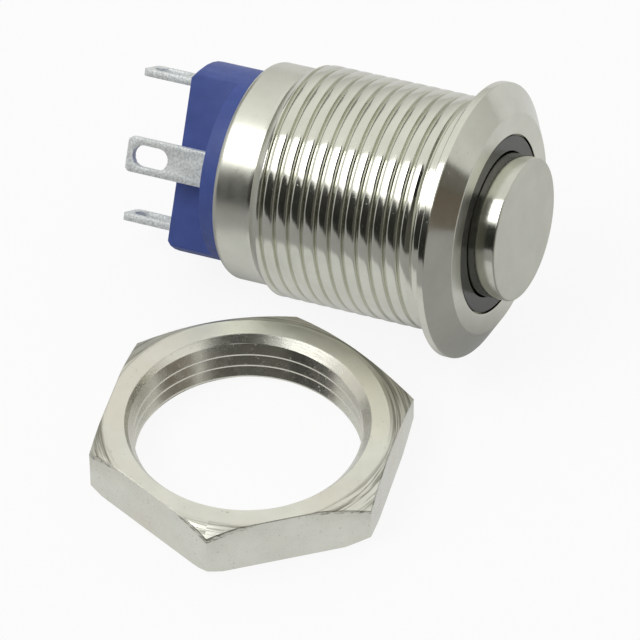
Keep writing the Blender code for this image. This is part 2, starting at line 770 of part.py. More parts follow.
def make_moving_contact(pivot):
    head = CONTACT_DIAMETER / 2
    shank = CONTACT_SHANK / 2
    front = moving_front - pivot_height
    rear = moving_rear - pivot_height
    profile = [
        (0.0, front),
        (head, front),
        (head, front - CONTACT_HEAD),
        (shank, front - CONTACT_HEAD),
        (shank, rear + CONTACT_HEAD),
        (head, rear + CONTACT_HEAD),
        (head, rear),
        (0.0, rear),
    ]
    contact = turned("moving_contact", profile, SILVER, pivot, ring=False, segments=24)
    return place(contact, pivot, (-PIVOT_OFFSET - CONTACT_OFFSET, 0.0, 0.0))


def make_fixed_contact(name, head_near_arm, direction, frame):
    """A rivet with its head towards the blade and its shank through the arm.

    direction is 1 where the shank points to the button and -1 where it points to the terminals' tips.
    """
    head = CONTACT_DIAMETER / 2
    shank = CONTACT_SHANK / 2
    shank_end = direction * (FIT + ARM_THICKNESS)
    head_end = -direction * CONTACT_HEAD
    heights = [(0.0, shank_end), (shank, shank_end), (shank, 0.0), (head, 0.0), (head, head_end), (0.0, head_end)]
    if direction < 0:
        heights.reverse()
    contact = turned(name, heights, SILVER, frame, ring=False, segments=24)
    return place(contact, frame, (-CONTACT_OFFSET, 0.0, head_near_arm))


def make_blade_spring(frame):
    return coil("blade_spring", BLADE_SPRING_DIAMETER / 2, BLADE_SPRING_WIRE, blade_rear - FIT,
                chamber_floor + FIT, BLADE_SPRING_TURNS, SPRING_STEEL, frame, (BLADE_SPRING_OFFSET, 0.0), 10)


# Panel nut


def make_panel_nut(nut):
    """A nut with both faces' corners turned off, concentric with its thread, and flats a little off that axis."""
    corner_radius = nut_half_flats / math.cos(math.pi / 6)
    blank_radius = 1.04 * corner_radius + NUT_FLATS_SHIFT
    face_radius = nut_half_flats + NUT_FACE_MARGIN
    foot_radius = nut_half_flats + NUT_FOOT_MARGIN
    profile = [
        (nut_bore_radius + NUT_TOP_COUNTERSINK, NUT_THICKNESS),
        (face_radius, NUT_THICKNESS),
        (blank_radius, NUT_THICKNESS - (blank_radius - face_radius) * NUT_CORNER_SLOPE),
        (blank_radius, (blank_radius - foot_radius) * NUT_CORNER_SLOPE),
        (foot_radius, 0.0),
        (nut_bore_radius + NUT_BOTTOM_COUNTERSINK, 0.0),
        (nut_bore_radius, NUT_BOTTOM_COUNTERSINK),
        (nut_bore_radius, NUT_THICKNESS - NUT_TOP_COUNTERSINK),
    ]
    panel_nut = turned("panel_nut", profile, NICKEL, nut, segments=72)
    shift_x = NUT_FLATS_SHIFT * math.cos(NUT_FLATS_SHIFT_TURN)
    shift_y = NUT_FLATS_SHIFT * math.sin(NUT_FLATS_SHIFT_TURN)
    hexagon = rod("nut_hexagon", corner_radius, 4 * NUT_THICKNESS, nut, (shift_x, shift_y, 0.0),
                  (0.0, 0.0, math.pi / 6), segments=6)
    return combine(panel_nut, hexagon, "INTERSECT")


def centre_on_footprint(roots):
    """Move the two groups together until the whole thing stands centred over the origin."""
    bpy.context.view_layer.update()
    graph = bpy.context.evaluated_depsgraph_get()
    corners = []
    for obj in parts.objects:
        if obj.type in {"MESH", "CURVE"}:
            solid = obj.evaluated_get(graph)
            corners += [obj.matrix_world @ Vector(corner) for corner in exact_box(solid)]
    middle_x = (min(point.x for point in corners) + max(point.x for point in corners)) / 2
    middle_y = (min(point.y for point in corners) + max(point.y for point in corners)) / 2
    for root in roots:
        root.location.x -= middle_x
        root.location.y -= middle_y


def exact_box(solid):
    mesh = solid.to_mesh()
    points = [vertex.co.copy() for vertex in mesh.vertices]
    solid.to_mesh_clear()
    return points


def build():
    axis = empty("push_axis", None, (0.0, 0.0, seat_height), (math.pi / 2 - rest_tilt, 0.0, 0.0))
    button = empty("button_frame", axis)
    frame = empty("terminal_frame", axis, rotation=(0.0, 0.0, BASE_TURN))
    pivot = empty("blade_pivot", frame, (PIVOT_OFFSET, 0.0, pivot_height))
    nut = empty("nut_frame", None, (NUT_SIDE, NUT_BACK, 0.0), (0.0, 0.0, NUT_TURN))

    make_housing(axis)
    make_guide_ring(axis)
    make_button_cap(button)
    make_plunger(button)
    make_front_o_ring(button)
    make_retaining_clip(button)
    make_return_spring(axis)
    make_spring_seat_washer(axis)
    make_chamber_gasket(axis)
    make_chamber_cover(axis)
    make_base_block(axis, frame)
    make_common_terminal(frame)
    make_side_terminal("terminal_no", -1, no_arm_front, no_arm_front + FIT, frame)
    make_side_terminal("terminal_nc", 1, nc_arm_front, nc_arm_front + FIT, frame)
    make_contact_blade(pivot)
    make_blade_pin(frame)
    make_moving_contact(pivot)
    make_fixed_contact("nc_contact", nc_head_front, 1, frame)
    make_fixed_contact("no_contact", no_head_front - CONTACT_HEAD, -1, frame)
    make_blade_spring(frame)
    make_panel_nut(nut)

    for obj in parts.objects:
        shade(obj)
    centre_on_footprint((axis, nut))


build()
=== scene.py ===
"""Looks of the metal pushbutton switch and of its hexagonal panel nut, which lies beside it.

The switch's pieces are built about its push axis, in millimetres, with +Z out of the button and z = 0 at the
seat behind the bezel. The nut's are built about its own axis, with z = 0 on the table.
"""

import math

import bmesh
import bpy
from mathutils import Matrix, Vector


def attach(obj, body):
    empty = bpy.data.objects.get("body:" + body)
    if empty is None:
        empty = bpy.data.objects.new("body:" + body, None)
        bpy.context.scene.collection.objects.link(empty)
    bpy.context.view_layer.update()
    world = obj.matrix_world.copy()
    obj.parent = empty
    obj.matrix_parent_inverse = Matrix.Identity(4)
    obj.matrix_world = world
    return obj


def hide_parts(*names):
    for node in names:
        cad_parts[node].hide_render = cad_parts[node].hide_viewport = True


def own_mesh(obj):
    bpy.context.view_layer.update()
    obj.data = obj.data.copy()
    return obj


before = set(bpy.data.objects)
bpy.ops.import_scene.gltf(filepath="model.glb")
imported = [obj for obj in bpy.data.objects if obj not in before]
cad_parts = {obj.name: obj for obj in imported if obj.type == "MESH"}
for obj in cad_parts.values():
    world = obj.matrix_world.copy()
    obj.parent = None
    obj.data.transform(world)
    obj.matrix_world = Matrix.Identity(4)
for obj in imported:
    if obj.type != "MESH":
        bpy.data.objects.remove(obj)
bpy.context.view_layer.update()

MM = 0.001

# Where the switch and the nut lie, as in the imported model
SEAT = (0.009704, -0.010738, 0.009291)
NUT_CENTRE = (-0.008696, -0.002738, 0.0)
NUT_TURN = math.radians(10.1)

# Housing
BEZEL_RADIUS = 9.35
BEZEL_FACE = 1.7
BEZEL_RIM = 0.5
BEZEL_FLAT = 7.5
OPENING = 6.1
RING_FLOOR = 0.7
SEAT_RELIEF = 0.1
GUIDE_RADIUS = 4.95
GUIDE_REAR = -4.1
SPRING_CHAMBER = 5.8
SHOULDER = -10.35
PLUG_BORE = 6.65
NECK = 7.75
NECK_REAR = -0.9
CREST = 7.95
THREAD_REAR = -12.4
THREAD_END = -13.1
COLLAR = 7.45
BARREL_REAR = -16.0
COLLAR_ROUND = 0.45
PITCH = 1.0
RUN_IN = 0.75
OPENING_EDGE = 0.05
FACE_EDGE = 0.1
RIM_EDGE = 0.09
SEAT_EDGE = 0.07

# Tilt at rest, on the bezel's rim and on the rear end of the thread
TILT = math.atan((BEZEL_RADIUS - CREST) / -THREAD_REAR)

# Ring and button
RING_TOP = 1.62
RING_BOTTOM = 0.8
RING_OUTER = 6.0
BUTTON_RADIUS = 4.85
BUTTON_FACE = 3.5
CAP_REAR = -1.5
CAP_WALL = 0.8
CAP_FACE = 1.0
BUTTON_EDGE = 0.12
RING_EDGE = 0.06

# Nut: its hexagon and its top chamfer each stand a little off the thread's axis
HALF_FLATS = 9.5
FLATS_SHIFT = (0.418, -0.166)
NUT_HEIGHT = 3.8
NUT_CREST = 7.5
NUT_ROOT = 8.0
NUT_TOP_SINK = 8.1
NUT_FOOT_SINK = 7.75
NUT_FACE = 9.5
FACE_SHIFT = (-0.2, 0.17)
NUT_FOOT = 10.1
CORNER_SLOPE = 0.6
NUT_EDGE = 0.05
NUT_STEP = 3  # degrees

# Base and lugs: width of the bevel on their edges, and the angle in degrees from which an edge gets one
BASE_BEVEL = 0.16
LUG_BEVEL = 0.05
BEVEL_FROM = 50

# Meshes: steps round a turn, distances in millimetres, and angles in degrees from which an edge shades sharp
SEGMENTS = 128
HOUSING_SEGMENTS = 160
MERGE = 0.0004
DEGENERATE = 0.0002
SUPPORT = 0.06
SHARP_TURNED = 38
SHARP_BEVELLED = 35
SHARP_NUT = 24
SHARP_COIL = 60

# Camera, from the fit to the photograph
CAMERA_PLACE = (-0.259544, -0.128685, 0.289417)
CAMERA_RIGHT = (0.42722, -0.90412, -0.00699)
CAMERA_AHEAD = (0.64201, 0.30879, -0.70177)
CAMERA_LENS = 344.64
CAMERA_SENSOR = 36.0

# Lamp: place, width and length, watts, and the point that it faces
KEY_PLACE = (-0.307, 0.34, 0.618)
KEY_SIZE = (0.46, 0.44)
KEY_POWER = 1.9
KEY_TARGET = (0.0, 0.34, 0.008)

# Flag: two opposite corners and its height
FLAG_LOW = (-0.60, -0.55)
FLAG_HIGH = (-0.08, 0.11)
FLAG_TOP = 0.78

# Cards: name, colour, distance, and the top edge as (azimuth in degrees, height)
CARDS = (
    ("dark_card", (0.02, 0.02, 0.018), 0.62,
     ((128, 0.30), (140, 0.46), (152, 0.46), (164, 0.46), (172, 0.5))),
    ("coat_card", (0.13, 0.125, 0.11), 0.62,
     ((172, 0.5), (184, 0.66), (198, 0.82), (212, 0.85), (244, 0.60))),
    ("brown_card", (0.24, 0.20, 0.16), 0.58, ((252, 0.25), (260, 0.25), (270, 0.25), (280, 0.25))),
    ("grey_card", (0.22, 0.21, 0.19), 0.56, ((280, 0.25), (285, 0.25), (289, 0.25))),
    ("far_card", (0.36, 0.36, 0.34), 0.66, ((38, 0.40), (50, 0.50), (62, 0.50), (74, 0.45), (86, 0.35))),
)

# Floor: its radius, and how strongly each kind of ray sees its glow in place of its shaded paper
FLOOR_RADIUS = 3.0
GLOW_SHARES = (("Is Camera Ray", 0.9), ("Is Glossy Ray", 0.85), ("Is Transmission Ray", 0.85))

# Painted light and shade on the floor, which metal mirrors: from and to where it fades, and the glow at
# both, by the distance from the nut's centre and by X
NUT_PAINTED_POOL = (0.0115, 0.017, 0.70, 0.30)
SIDE_PAINTED_POOL = (0.004, 0.014, 0.0, 0.70)

# Studio: brightness at the horizon and overhead, and the height of the direction where it is full
HORIZON_LIGHT = 0.55
OVERHEAD_LIGHT = 0.88
OVERHEAD_FROM = 0.65


def axis_matrix():
    """The switch's frame: millimetres about the push axis, to metres in the shared frame."""
    sine = math.sin(TILT)
    cosine = math.cos(TILT)
    rows = (
        (MM, 0.0, 0.0, SEAT[0]),
        (0.0, MM * sine, -MM * cosine, SEAT[1]),
        (0.0, MM * cosine, MM * sine, SEAT[2]),
        (0.0, 0.0, 0.0, 1.0),
    )
    return Matrix(rows)


def nut_matrix():
    return Matrix.Translation(NUT_CENTRE) @ Matrix.Rotation(NUT_TURN, 4, "Z") @ Matrix.Scale(MM, 4)


AXIS = axis_matrix()
NUT = nut_matrix()


# Mesh helpers


def finish_mesh(name, bm, matrix, sharp, body, material):
    """A new piece from a bmesh in its own frame; the matrix puts its mesh where it lies, in metres."""
    bmesh.ops.remove_doubles(bm, verts=bm.verts, dist=MERGE)
    bmesh.ops.dissolve_degenerate(bm, dist=DEGENERATE, edges=bm.edges)
    bmesh.ops.recalc_face_normals(bm, faces=bm.faces)
    bmesh.ops.transform(bm, matrix=matrix, verts=bm.verts)
    mesh = bpy.data.meshes.new(name)
    bm.to_mesh(mesh)
    bm.free()
    mesh.materials.append(material)
    mesh.shade_smooth()
    mesh.set_sharp_from_angle(angle=math.radians(sharp))
    obj = bpy.data.objects.new(name, mesh)
    bpy.context.scene.collection.objects.link(obj)
    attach(obj, body)
    return obj


def sweep_columns(columns):
    """A closed skin from columns of (radius, angle, height), each column a closed loop of the same length.

    The last column stands where the first one does, a whole turn on, so doubles are merged afterwards.
    """
    bm = bmesh.new()
    grid = []
    for column in columns:
        grid.append([bm.verts.new((r * math.cos(a), r * math.sin(a), z)) for r, a, z in column])
    count = len(grid[0])
    for left, right in zip(grid, grid[1:]):
        for index in range(count):
            after = (index + 1) % count
            bm.faces.new((left[index], left[after], right[after], right[index]))
    return bm


def turned_loop(profile):
    """A closed (radius, height) loop swept round the axis."""
    columns = []
    for step in range(SEGMENTS + 1):
        angle = math.tau * step / SEGMENTS
        columns.append([(r, angle, z) for r, z in profile])
    return sweep_columns(columns)


def turned_solid(profile):
    """A (radius, height) line from axis to axis, swept round it."""
    bm = bmesh.new()
    rings = []
    for r, z in profile:
        if r == 0.0:
            rings.append([bm.verts.new((0.0, 0.0, z))])
            continue
        ring = []
        for step in range(SEGMENTS):
            angle = math.tau * step / SEGMENTS
            ring.append(bm.verts.new((r * math.cos(angle), r * math.sin(angle), z)))
        rings.append(ring)
    for upper, lower in zip(rings, rings[1:]):
        for step in range(SEGMENTS):
            after = (step + 1) % SEGMENTS
            corners = [upper[step % len(upper)], upper[after % len(upper)]]
            corners += [lower[after % len(lower)], lower[step % len(lower)]]
            unique = []
            for corner in corners:
                if corner not in unique:
                    unique.append(corner)
            bm.faces.new(unique)
    return bm


def arc(centre_radius, centre_height, radius, start, end, count):
    """Points of (radius, height) on a rounding, between two angles in degrees."""
    points = []
    for index in range(count + 1):
        angle = math.radians(start + (end - start) * index / count)
        points.append((centre_radius + radius * math.cos(angle), centre_height + radius * math.sin(angle)))
    return points


def held(profile):
    """The same line with a point close to both ends of each long stretch, so that it shades flat."""
    points = [profile[0]]
    for start, end in zip(profile, profile[1:]):
        run = math.dist(start, end)
        if run > 4 * SUPPORT:
            for share in (SUPPORT / run, 1.0 - SUPPORT / run):
                points.append(tuple(a + (b - a) * share for a, b in zip(start, end)))
        points.append(end)
    return points


def smoothstep(value):
    value = max(0.0, min(1.0, value))
    return value * value * (3.0 - 2.0 * value)


# Shapes of one thread turn, as (share of the pitch, share of the depth from root to crest)
OUTER_TURN = (
    (0.000, 0.997), (0.015, 0.998), (0.115, 1.0), (0.215, 0.998), (0.315, 0.985), (0.395, 0.955),
    (0.445, 0.915), (0.475, 0.86), (0.500, 0.77), (0.545, 0.47), (0.575, 0.36), (0.595, 0.32),
    (0.615, 0.31), (0.635, 0.32), (0.655, 0.36), (0.685, 0.47), (0.730, 0.77), (0.755, 0.86),
    (0.785, 0.915), (0.835, 0.955), (0.915, 0.985),
)
INNER_TURN = (
    (0.00, 0.525), (0.05, 0.463), (0.20, 0.275), (0.34, 0.10), (0.39, 0.04), (0.43, 0.01), (0.47, 0.0),
    (0.51, 0.02), (0.54, 0.30), (0.57, 0.80), (0.59, 0.97), (0.62, 1.0), (0.66, 0.975), (0.70, 0.90),
    (0.85, 0.713),
)


def thread_rows(turn_shape, front, rear):
    """Every row of a helix that can show between two heights: (height at angle 0, share of the depth)."""
    rows = []
    turns = int(math.ceil((front - rear) / PITCH)) + 2
    for turn in range(turns):
        for share, depth in turn_shape:
            rows.append((front - PITCH * (turn + share), depth))
    return rows


def depth_at(turn_shape, height, angle, front):
    """The share of the depth at a height, for the helix that thread_rows lays out."""
    phase = ((front - height) / PITCH + angle / math.tau) % 1.0
    shape = list(turn_shape) + [(1.0, turn_shape[0][1])]
    for (start, low), (end, high) in zip(shape, shape[1:]):
        if phase <= end:
            return low + (high - low) * (phase - start) / (end - start)
    return shape[-1][1]


def helix_columns(turn_shape, front, rear, angles, radius_of):
    """Each column's thread points, front to rear, clamped to the two heights."""
    columns = []
    rows = thread_rows(turn_shape, front, rear)
    for angle in angles:
        column = []
        for height, depth in rows:
            z = min(max(height + PITCH * angle / math.tau, rear), front)
            share = depth if rear < z < front else depth_at(turn_shape, z, angle, front)
            column.append((radius_of(z, share), z))
        columns.append(column)
    return columns


# Material helpers


class Paint:
    """One procedural material, with coordinates in millimetres of the switch's or the nut's own frame."""

    def __init__(self, name, metallic, ior=1.45, origin=SEAT, turn=(math.pi / 2 - TILT, 0.0, 0.0)):
        self.material = bpy.data.materials.new(name)
        self.material.use_nodes = True
        self.nodes = self.material.node_tree.nodes
        self.links = self.material.node_tree.links
        self.shader = self.nodes["Principled BSDF"]
        self.shader.inputs["Metallic"].default_value = metallic
        self.shader.inputs["IOR"].default_value = ior
        coordinates = self.nodes.new("ShaderNodeTexCoord")
        frame_node = self.nodes.new("ShaderNodeMapping")
        frame_node.vector_type = "TEXTURE"
        frame_node.inputs["Location"].default_value = origin
        frame_node.inputs["Rotation"].default_value = turn
        frame_node.inputs["Scale"].default_value = (MM, MM, MM)
        self.links.new(coordinates.outputs["Object"], frame_node.inputs["Vector"])
        self.place = frame_node.outputs["Vector"]
        self.bump_chain = None

    def stretched(self, scale):
        """Coordinates multiplied along each axis, so that a noise is drawn out along the others."""
        node = self.nodes.new("ShaderNodeVectorMath")
        node.operation = "MULTIPLY"
        node.inputs[1].default_value = scale
        self.links.new(self.place, node.inputs[0])
        return node.outputs["Vector"]

    def noise(self, scale, detail, roughness, stretch=None, ring=False):
        node = self.nodes.new("ShaderNodeTexNoise")
        node.inputs["Scale"].default_value = scale
        node.inputs["Detail"].default_value = detail
        node.inputs["Roughness"].default_value = roughness
        if ring:
            place = self.ringed()
        elif stretch:
            place = self.stretched(stretch)
        else:
            place = self.place
        self.links.new(place, node.inputs["Vector"])
        return node.outputs["Fac"]

    def ringed(self):
        """Coordinates that change fast with the radius and the height and slowly round the axis."""
        joined = self.nodes.new("ShaderNodeCombineXYZ")
        self.links.new(self.math("MULTIPLY", self.part("radius"), 5.0), joined.inputs[0])
        self.links.new(self.math("MULTIPLY", self.part("height"), 5.0), joined.inputs[1])
        self.links.new(self.math("MULTIPLY", self.part("angle"), 1.2), joined.inputs[2])
        return joined.outputs["Vector"]

    def span(self, value, low, high, to_low=0.0, to_high=1.0):
        """The value's run from low to high, turned into one from to_low to to_high and held beyond it."""
        node = self.nodes.new("ShaderNodeMapRange")
        node.inputs["From Min"].default_value = low
        node.inputs["From Max"].default_value = high
        node.inputs["To Min"].default_value = to_low
        node.inputs["To Max"].default_value = to_high
        self.links.new(value, node.inputs["Value"])
        return node.outputs["Result"]

    def math(self, operation, first, second):
        node = self.nodes.new("ShaderNodeMath")
        node.operation = operation
        for socket, value in zip(node.inputs, (first, second)):
            if isinstance(value, (int, float)):
                socket.default_value = value
            else:
                self.links.new(value, socket)
        return node.outputs["Value"]

    def part(self, label):
        """The radius, the height or the angle about the piece's own Z axis, in millimetres."""
        split = self.nodes.new("ShaderNodeSeparateXYZ")
        self.links.new(self.place, split.inputs[0])
        if label == "height":
            return split.outputs["Z"]
        if label == "angle":
            return self.math("ARCTAN2", split.outputs["Y"], split.outputs["X"])
        across = self.math("MULTIPLY", split.outputs["X"], split.outputs["X"])
        along = self.math("MULTIPLY", split.outputs["Y"], split.outputs["Y"])
        return self.math("SQRT", self.math("ADD", across, along), 0.0)

    def mix(self, share, first, second):
        """Two colours mixed by a share of the second; each is three numbers or another node's output."""
        node = self.nodes.new("ShaderNodeMix")
        node.data_type = "RGBA"
        self.links.new(share, node.inputs[0])
        for socket, value in ((node.inputs[6], first), (node.inputs[7], second)):
            if isinstance(value, tuple):
                socket.default_value = (*value, 1.0)
            else:
                self.links.new(value, socket)
        return node.outputs[2]

    def colour(self, value):
        self.links.new(value, self.shader.inputs["Base Color"])

    def roughness(self, value):
        self.links.new(value, self.shader.inputs["Roughness"])

    def bump(self, height, strength, distance):
        """distance is the height of the relief in millimetres."""
        node = self.nodes.new("ShaderNodeBump")
        node.inputs["Strength"].default_value = strength
        node.inputs["Distance"].default_value = distance * MM
        self.links.new(height, node.inputs["Height"])
        if self.bump_chain is not None:
            self.links.new(self.bump_chain, node.inputs["Normal"])
        self.bump_chain = node.outputs["Normal"]
        self.links.new(self.bump_chain, self.shader.inputs["Normal"])


def nickel_paint():
    """Plated metal: faintly cloudy, a few specks of dust and pits, and turning marks.

    The collar and the flat face round the button are duller than the rest.
    """
    paint = Paint("nickel_plate", 1.0)
    clouds = paint.noise(scale=0.35, detail=3.0, roughness=0.6)
    tone = paint.mix(paint.span(clouds, 0.35, 0.65), (0.695, 0.70, 0.62), (0.755, 0.76, 0.68))
    specks = paint.span(paint.noise(scale=6.0, detail=2.0, roughness=0.7), 0.70, 0.78)
    tone = paint.mix(paint.math("MULTIPLY", specks, 0.5), tone, (0.22, 0.21, 0.17))
    paint.colour(tone)
    wear = paint.span(paint.noise(scale=1.2, detail=3.0, roughness=0.6), 0.3, 0.7, 0.10, 0.16)
    collar = paint.span(paint.part("height"), THREAD_END + 0.1, THREAD_END - 0.3, 0.0, 0.17)
    face = paint.span(paint.part("height"), BEZEL_FACE - 0.06, BEZEL_FACE - 0.02, 0.0, 0.2)
    paint.roughness(paint.math("ADD", wear, paint.math("ADD", collar, face)))
    marks = paint.noise(scale=1.0, detail=2.0, roughness=0.6, stretch=(0.3, 0.3, 20.0))
    paint.bump(marks, strength=0.2, distance=0.003)
    paint.bump(paint.noise(scale=9.0, detail=2.0, roughness=0.5), strength=0.15, distance=0.003)
    paint.bump(specks, strength=0.4, distance=-0.01)
    return paint.material


def nut_paint():
    """Pitted, stained nickel plate with a satin top face and turning lines, strongest on the chamfer."""
    paint = Paint("nut_plate", 1.0, origin=NUT_CENTRE, turn=(0.0, 0.0, NUT_TURN))
    clouds = paint.noise(scale=0.4, detail=3.0, roughness=0.6)
    tone = paint.mix(paint.span(clouds, 0.35, 0.65), (0.78, 0.785, 0.705), (0.84, 0.845, 0.765))
    stain = paint.span(paint.noise(scale=0.16, detail=2.0, roughness=0.5), 0.45, 0.65, 0.0, 0.5)
    tone = paint.mix(stain, tone, (0.78, 0.73, 0.62))
    pits = paint.span(paint.noise(scale=4.5, detail=3.0, roughness=0.7), 0.66, 0.73)
    tone = paint.mix(paint.math("MULTIPLY", pits, 0.55), tone, (0.26, 0.24, 0.19))
    radius = paint.part("radius")
    cone = paint.math("ADD", paint.part("height"), paint.math("MULTIPLY", radius, CORNER_SLOPE))
    crown = NUT_HEIGHT + CORNER_SLOPE * NUT_FACE
    high = paint.span(cone, crown - 0.3, crown - 0.2)
    chamfer = paint.math("MULTIPLY", paint.span(radius, NUT_FACE - 0.25, NUT_FACE + 0.1), high)
    rings = paint.noise(scale=1.0, detail=3.0, roughness=0.7, ring=True)
    scored = paint.math("MULTIPLY", paint.span(rings, 0.40, 0.52, 1.0, 0.0), chamfer)
    tone = paint.mix(paint.math("MULTIPLY", scored, 0.75), tone, (0.18, 0.17, 0.13))
    paint.colour(tone)
    top = paint.span(paint.part("height"), NUT_HEIGHT - 0.06, NUT_HEIGHT - 0.01, 0.0, 0.14)
    wear = paint.span(paint.noise(scale=1.0, detail=3.0, roughness=0.6), 0.3, 0.7, 0.22, 0.30)
    rough = paint.math("ADD", wear, top)
    paint.roughness(paint.math("ADD", rough, paint.math("MULTIPLY", chamfer, 0.14)))
    depth = paint.math("ADD", paint.math("MULTIPLY", chamfer, 0.8), 0.15)
    paint.bump(paint.math("MULTIPLY", rings, depth), strength=0.6, distance=0.05)
    paint.bump(paint.noise(scale=6.0, detail=2.0, roughness=0.5), strength=0.2, distance=0.006)
    paint.bump(pits, strength=0.6, distance=-0.02)
    return paint.material


def satin_paint():
    """The button: a finely lapped face and a bright turned side."""
    paint = Paint("button_satin", 1.0)
    clouds = paint.noise(scale=0.5, detail=2.0, roughness=0.5)
    tone = paint.mix(paint.span(clouds, 0.3, 0.7), (0.62, 0.625, 0.555), (0.67, 0.675, 0.60))
    specks = paint.span(paint.noise(scale=9.0, detail=2.0, roughness=0.6), 0.68, 0.78)
    tone = paint.mix(paint.math("MULTIPLY", specks, 0.3), tone, (0.33, 0.32, 0.27))
    paint.colour(tone)
    height = paint.part("height")
    face = paint.span(height, BUTTON_FACE - 0.1, BUTTON_FACE - 0.02)
    fine = paint.span(paint.noise(scale=6.0, detail=3.0, roughness=0.6), 0.3, 0.7, -0.04, 0.04)
    paint.roughness(paint.math("ADD", paint.span(face, 0.0, 1.0, 0.14, 0.42), fine))
    radius = paint.part("radius")
    paint.bump(paint.math("SINE", paint.math("MULTIPLY", radius, 55.0), 0.0), strength=0.15, distance=0.001)
    paint.bump(paint.noise(scale=22.0, detail=2.0, roughness=0.6), strength=0.25, distance=0.002)
    return paint.material


def plastic_paint(name, light, dark, rough, grain, dust):
    """Moulded plastic: a fine eroded grain, slight shade changes and a little dust."""
    paint = Paint(name, 0.0, 1.5)
    clouds = paint.noise(scale=0.8, detail=3.0, roughness=0.6)
    tone = paint.mix(paint.span(clouds, 0.3, 0.7), dark, light)
    specks = paint.span(paint.noise(scale=8.0, detail=2.0, roughness=0.6), 0.68, 0.76)
    tone = paint.mix(paint.math("MULTIPLY", specks, dust), tone, (0.55, 0.57, 0.62))
    paint.colour(tone)
    wear = paint.noise(scale=3.0, detail=3.0, roughness=0.6)
    paint.roughness(paint.span(wear, 0.3, 0.7, rough - 0.06, rough + 0.06))
    paint.bump(paint.noise(scale=12.0, detail=3.0, roughness=0.6), strength=0.5, distance=grain)
    paint.bump(paint.noise(scale=2.0, detail=2.0, roughness=0.5), strength=0.3, distance=grain * 2.0)
    return paint.material


def tin_paint():
    """Tin plate: a dull bright crystalline film, finely speckled."""
    paint = Paint("tin_plate", 0.5)
    grains = paint.noise(scale=6.0, detail=4.0, roughness=0.75)
    tone = paint.mix(paint.span(grains, 0.38, 0.60), (0.60, 0.64, 0.64), (0.97, 1.0, 1.0))
    clouds = paint.noise(scale=0.8, detail=2.0, roughness=0.5)
    tone = paint.mix(paint.span(clouds, 0.45, 0.75, 0.0, 0.25), tone, (0.60, 0.60, 0.54))
    paint.colour(tone)
    wear = paint.noise(scale=7.0, detail=3.0, roughness=0.7)
    paint.roughness(paint.span(wear, 0.3, 0.7, 0.42, 0.62))
    paint.bump(grains, strength=0.5, distance=0.012)
    paint.bump(paint.noise(scale=16.0, detail=2.0, roughness=0.6), strength=0.3, distance=0.004)
    return paint.material


def rubber_paint():
    """Dull black rubber with a faint bloom."""
    paint = Paint("seal_rubber", 0.0, 1.52)
    clouds = paint.noise(scale=1.5, detail=3.0, roughness=0.6)
    bloom = paint.mix(paint.span(clouds, 0.4, 0.7), (0.018, 0.018, 0.018), (0.045, 0.045, 0.043))
    paint.colour(bloom)
    wear = paint.noise(scale=4.0, detail=3.0, roughness=0.6)
    paint.roughness(paint.span(wear, 0.3, 0.7, 0.68, 0.85))
    paint.bump(paint.noise(scale=9.0, detail=3.0, roughness=0.6), strength=0.5, distance=0.006)
    return paint.material


def drawn_paint(name, light, dark, low_rough, high_rough):
    """Drawn wire, stamped strip and rivets: streaks and small scratches."""
    paint = Paint(name, 1.0)
    clouds = paint.noise(scale=1.1, detail=3.0, roughness=0.6)
    paint.colour(paint.mix(paint.span(clouds, 0.35, 0.65), dark, light))
    streaks = paint.noise(scale=2.0, detail=3.0, roughness=0.6, stretch=(1.0, 1.0, 12.0))
    paint.roughness(paint.span(streaks, 0.3, 0.7, low_rough, high_rough))
    paint.bump(streaks, strength=0.3, distance=0.003)
    paint.bump(paint.noise(scale=15.0, detail=2.0, roughness=0.6), strength=0.3, distance=0.002)
    return paint.material


NICKEL = nickel_paint()
NUT_NICKEL = nut_paint()
SATIN = satin_paint()
RING_GREY = plastic_paint("ring_grey", (0.060, 0.060, 0.055), (0.048, 0.048, 0.044), 0.2, 0.001, 0.04)
BLUE = plastic_paint("base_blue", (0.058, 0.098, 0.36), (0.047, 0.082, 0.31), 0.46, 0.008, 0.1)
BLACK = plastic_paint("plunger_black", (0.035, 0.035, 0.036), (0.022, 0.022, 0.023), 0.45, 0.004, 0.05)
TIN = tin_paint()
RUBBER = rubber_paint()
STEEL = drawn_paint("spring_steel", (0.60, 0.60, 0.59), (0.48, 0.48, 0.47), 0.22, 0.38)
COPPER = drawn_paint("blade_copper", (0.78, 0.45, 0.29), (0.62, 0.33, 0.20), 0.24, 0.38)
SILVER = drawn_paint("contact_silver", (0.85, 0.85, 0.82), (0.70, 0.70, 0.67), 0.18, 0.3)


# Pieces of the switch


